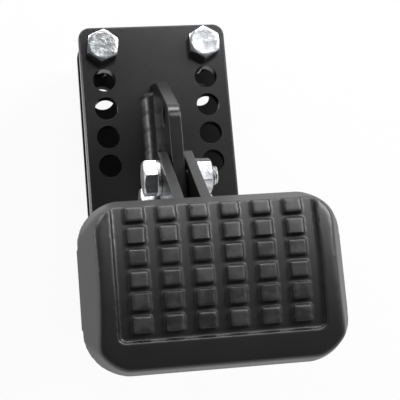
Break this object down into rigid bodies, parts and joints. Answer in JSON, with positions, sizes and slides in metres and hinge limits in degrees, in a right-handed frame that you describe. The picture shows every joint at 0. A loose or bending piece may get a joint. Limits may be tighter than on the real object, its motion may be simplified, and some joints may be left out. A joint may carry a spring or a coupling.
{
  "type": "brake pedal extension",
  "caption": "Clamp-on brake pedal extension: black clamp plates with zinc bolts, a welded arm and a tilting ribbed rubber foot pad.",
  "frame": {"origin": "middle of the front plate's rear face, where the vehicle's own pedal seats", "axes": "+X across the plate, +Y up the plate, +Z out of its face towards the foot pad; the part lies on its back, on its clamp bolts' ends"},
  "size_m": [0.093, 0.1549, 0.146],
  "materials": {
    "black_steel": "satin powder coat",
    "zinc": "bright zinc plating",
    "rubber": "semi-gloss moulded rubber"
  },
  "bodies": {
    "base": {"front_plate": "black_steel", "centre_lug": "black_steel", "lug_weld_left": "black_steel", "lug_weld_right": "black_steel", "clamp_bolts": "zinc"},
    "rear_clamp": {"rear_plate": "black_steel", "clamp_nuts": "zinc"},
    "pad_arm": {"pad_bracket": "black_steel", "bracket_weld_left": "black_steel", "bracket_weld_right": "black_steel", "pad_insert": "black_steel", "pad_cover": "rubber", "pivot_bolt": "zinc", "pivot_washer": "zinc", "pivot_nut": "zinc", "lock_bolt": "zinc", "lock_washer": "zinc", "lock_nut": "zinc"}
  },
  "joints": [
    {"name": "clamp_slide", "type": "slide", "parent": "base", "child": "rear_clamp", "axis": [0, 0, 1], "range_m": [0, 0.012]},
    {"name": "pad_tilt", "type": "hinge", "parent": "base", "child": "pad_arm", "pos_m": [0, -0.0225, 0.044], "axis": [1, 0, 0], "range_deg": [-12, 12]}
  ]
}
